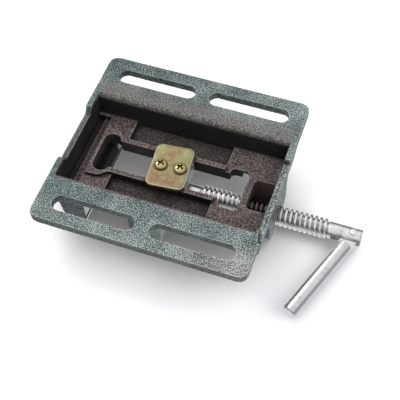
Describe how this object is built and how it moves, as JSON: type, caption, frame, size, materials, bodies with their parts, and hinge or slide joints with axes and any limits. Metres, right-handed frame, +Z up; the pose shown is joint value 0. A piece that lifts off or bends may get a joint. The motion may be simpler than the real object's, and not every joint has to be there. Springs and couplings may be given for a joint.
{
  "type": "drill press vise",
  "caption": "Cast drill press vise with slotted flanges, a screw-driven sliding jaw on a guide slot and a folding bar handle.",
  "frame": {"origin": "centre of the four mounting slots' pattern, on the base's underside", "axes": "+X along the lead screw toward the handle, +Z up from the base toward the jaws, +Y completes the right-hand set and points to the side where the handle is drawn"},
  "size_m": [0.1803, 0.125, 0.0385],
  "materials": {
    "hammered_paint": "green hammered paint over a cast surface",
    "yellow_zinc": "yellow zinc passivate with faint pink and green interference colours",
    "bright_steel": "bright turned and plated steel",
    "jaw_steel": "ground steel, painted over at the edges",
    "dark_steel": "black oxide"
  },
  "bodies": {
    "base": {"base_casting": "hammered_paint", "fixed_jaw_plate": "jaw_steel", "fixed_jaw_screw_left": "dark_steel", "fixed_jaw_screw_right": "dark_steel"},
    "jaw": {"moving_jaw": "hammered_paint", "moving_jaw_plate": "jaw_steel", "moving_jaw_screw_left": "dark_steel", "moving_jaw_screw_right": "dark_steel", "guide_plate": "yellow_zinc", "guide_screw_front": "yellow_zinc", "guide_screw_rear": "yellow_zinc", "screw_retaining_pin_left": "dark_steel", "screw_retaining_pin_right": "dark_steel"},
    "screw": {"lead_screw": "bright_steel", "handle_rivet": "bright_steel"},
    "handle": {"handle_bar": "bright_steel"}
  },
  "joints": [
    {"name": "jaw_slide", "type": "slide", "parent": "base", "child": "jaw", "axis": [1, 0, 0], "range_m": [-0.0285, 0.033]},
    {"name": "screw_turn", "type": "hinge", "parent": "jaw", "child": "screw", "pos_m": [0, 0, 0.03], "axis": [1, 0, 0], "range_deg": [-3421, 3961]},
    {"name": "handle_fold", "type": "hinge", "parent": "screw", "child": "handle", "pos_m": [0.1101, 0, 0.03], "axis": [0, 0, 1], "range_deg": [-226.6, 7.4]}
  ],
  "couplings": [
    {"joint": "screw_turn", "follows": "jaw_slide", "rad_per_m": 2094.4}
  ]
}
